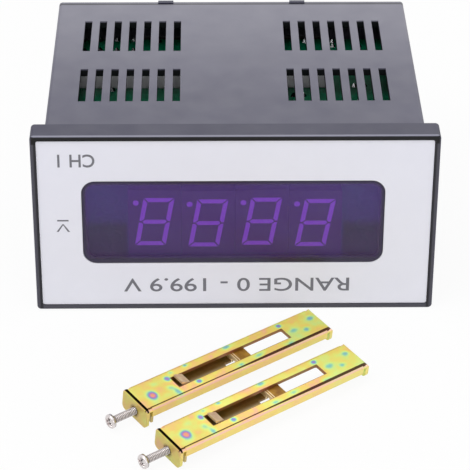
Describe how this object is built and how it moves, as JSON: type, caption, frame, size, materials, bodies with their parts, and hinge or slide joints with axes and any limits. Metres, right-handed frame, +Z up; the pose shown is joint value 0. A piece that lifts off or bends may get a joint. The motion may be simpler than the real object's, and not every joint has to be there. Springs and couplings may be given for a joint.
{
  "type": "digital panel meter",
  "caption": "Panel-mount digital meter with a slotted case, a tinted window over slanted seven-segment digits, rear screw terminals and screw-drawn panel clamps.",
  "frame": {"origin": "middle of the panel opening, in the plane of the bezel's back face, which is the face that lies on the panel", "axes": "+X to the right as seen from the front, +Y from the front towards the back and the terminals, +Z up as the meter lies in the picture, which is upside down: its figures and its lettering have their tops towards -Z. The meter lies on the long edge of its bezel; its clamps lie off it, on the same surface, in front"},
  "size_m": [0.096, 0.1512, 0.048],
  "materials": {
    "case_plastic": "satin moulded plastic, fine grain",
    "face_print": "smooth printed plastic plate",
    "window_filter": "clear tinted acrylic",
    "display_body": "matt",
    "display_segments": "diffusing resin",
    "board_green": "lacquered glass fibre board",
    "solder": "bright tin",
    "pale_sheet": "matt insulating sheet",
    "black_plastic": "matt",
    "iron_core": "lacquered laminations",
    "winding": "varnished copper under tape",
    "can_sleeve": "shrunk sleeve",
    "film_box": "gloss",
    "ceramic_disc": "dipped ceramic",
    "resistor_body": "lacquered",
    "trimmer_blue": "gloss",
    "brass_screw": "bright",
    "terminal_black": "satin moulded plastic",
    "plated_steel": "zinc plated",
    "yellow_zinc": "yellow passivated zinc plate"
  },
  "bodies": {
    "meter": {"board_header": "black_plastic", "case": "case_plastic", "chip_socket": "black_plastic", "clamp_channel_1": "yellow_zinc", "clamp_channel_2": "yellow_zinc", "converter_chip": "black_plastic", "digit_segments_1": "display_segments", "digit_segments_2": "display_segments", "digit_segments_3": "display_segments", "digit_segments_4": "display_segments", "disc_capacitors": "ceramic_disc", "display_board": "board_green", "display_window": "window_filter", "electrolytic_capacitors": "can_sleeve", "face_plate": "face_print", "film_capacitors": "film_box", "front_bezel": "case_plastic", "header_pins": "solder", "insulating_sheet": "pale_sheet", "led_digit_1": "display_body", "led_digit_2": "display_body", "led_digit_3": "display_body", "led_digit_4": "display_body", "main_board": "board_green", "rear_cover": "case_plastic", "rectifier_diodes": "black_plastic", "resistors": "resistor_body", "solder_joints": "solder", "terminal_block": "terminal_black", "terminal_clamp_boxes": "plated_steel", "transformer_coil": "winding", "transformer_core": "iron_core", "trimmer_body": "trimmer_blue", "voltage_regulator": "black_plastic"},
    "hook_slider_1_body": {"hook_slider_1": "yellow_zinc"},
    "hook_slider_2_body": {"hook_slider_2": "yellow_zinc"},
    "clamp_screw_1_body": {"clamp_screw_1": "plated_steel"},
    "clamp_screw_2_body": {"clamp_screw_2": "plated_steel"},
    "trimmer_screw_body": {"trimmer_screw": "brass_screw"},
    "terminal_screw_1_body": {"terminal_screw_1": "plated_steel"},
    "terminal_screw_2_body": {"terminal_screw_2": "plated_steel"},
    "terminal_screw_3_body": {"terminal_screw_3": "plated_steel"},
    "terminal_screw_4_body": {"terminal_screw_4": "plated_steel"},
    "terminal_screw_5_body": {"terminal_screw_5": "plated_steel"},
    "terminal_screw_6_body": {"terminal_screw_6": "plated_steel"}
  },
  "joints": [
    {"name": "hook_slide_1", "type": "slide", "parent": "meter", "child": "hook_slider_1_body", "axis": [0.7934, 0.6088, 0], "range_m": [-0.0011, 0.006]},
    {"name": "clamp_screw_turn_1", "type": "hinge", "parent": "hook_slider_1_body", "child": "clamp_screw_1_body", "pos_m": [-0.02328, -0.05184, -0.02134], "axis": [0.7934, 0.6088, 0], "continuous": true},
    {"name": "hook_slide_2", "type": "slide", "parent": "meter", "child": "hook_slider_2_body", "axis": [0.7934, 0.6088, 0], "range_m": [-0.0011, 0.006]},
    {"name": "clamp_screw_turn_2", "type": "hinge", "parent": "hook_slider_2_body", "child": "clamp_screw_2_body", "pos_m": [-0.01568, -0.06674, -0.02134], "axis": [0.7934, 0.6088, 0], "continuous": true},
    {"name": "trimmer_turn", "type": "hinge", "parent": "meter", "child": "trimmer_screw_body", "pos_m": [0.033, 0.0625, 0.0054], "axis": [0, 1, 0], "continuous": true},
    {"name": "terminal_screw_slide_1", "type": "slide", "parent": "meter", "child": "terminal_screw_1_body", "axis": [0, 1, 0], "range_m": [0, 0.0024]},
    {"name": "terminal_screw_slide_2", "type": "slide", "parent": "meter", "child": "terminal_screw_2_body", "axis": [0, 1, 0], "range_m": [0, 0.0024]},
    {"name": "terminal_screw_slide_3", "type": "slide", "parent": "meter", "child": "terminal_screw_3_body", "axis": [0, 1, 0], "range_m": [0, 0.0024]},
    {"name": "terminal_screw_slide_4", "type": "slide", "parent": "meter", "child": "terminal_screw_4_body", "axis": [0, 1, 0], "range_m": [0, 0.0024]},
    {"name": "terminal_screw_slide_5", "type": "slide", "parent": "meter", "child": "terminal_screw_5_body", "axis": [0, 1, 0], "range_m": [0, 0.0024]},
    {"name": "terminal_screw_slide_6", "type": "slide", "parent": "meter", "child": "terminal_screw_6_body", "axis": [0, 1, 0], "range_m": [0, 0.0024]}
  ]
}
